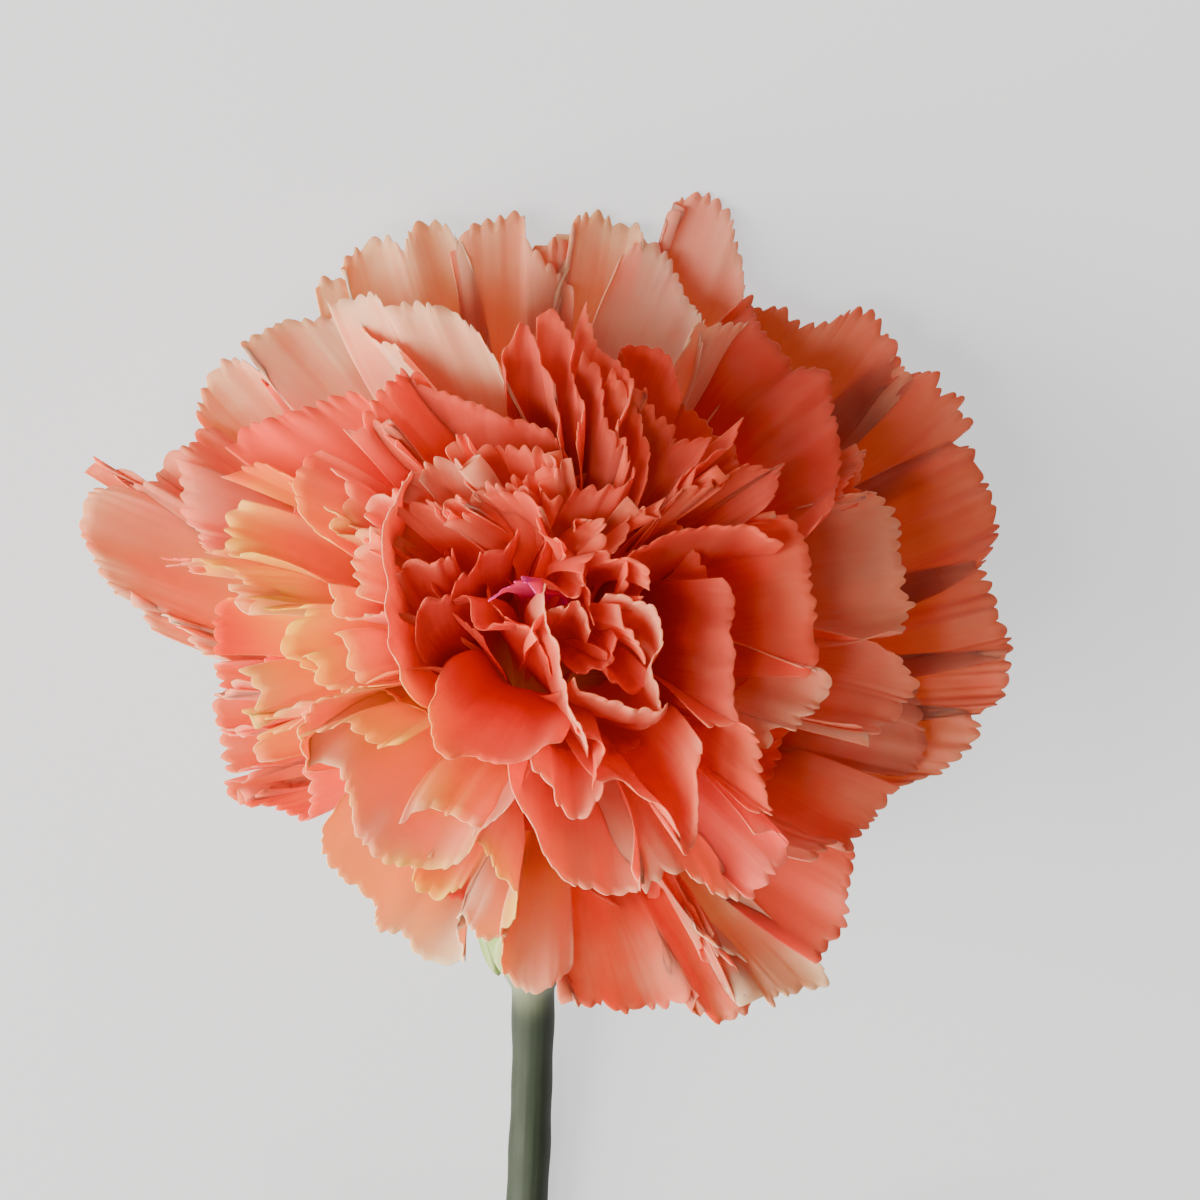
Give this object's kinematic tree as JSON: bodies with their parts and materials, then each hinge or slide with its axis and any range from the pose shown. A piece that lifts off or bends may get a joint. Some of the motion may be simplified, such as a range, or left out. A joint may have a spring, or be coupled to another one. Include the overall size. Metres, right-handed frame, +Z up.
{
  "type": "cut carnation",
  "caption": "Double carnation bloom of ruffled, toothed petals in a five-toothed calyx, on a short bent stem with paired narrow leaves, lying on its side.",
  "frame": {"origin": "on the surface that the flower lies on, under the middle of its bounding box", "axes": "+Z up from the surface, +Y from the bloom towards the cut end of the stem, -Y the side that the bloom faces"},
  "size_m": [0.1072, 0.2346, 0.0553],
  "materials": {
    "petal": "soft matte, coral with a paler edge and a yellow base",
    "calyx": "matte yellow-green",
    "stem": "waxy matte grey-green",
    "leaf": "waxy matte grey-green"
  },
  "bodies": {
    "root": {"bloom": "petal", "calyx": "calyx", "stem": "stem", "leaf_upper_left": "leaf", "leaf_upper_right": "leaf", "leaf_lower_left": "leaf", "leaf_lower_right": "leaf"}
  },
  "joints": []
}
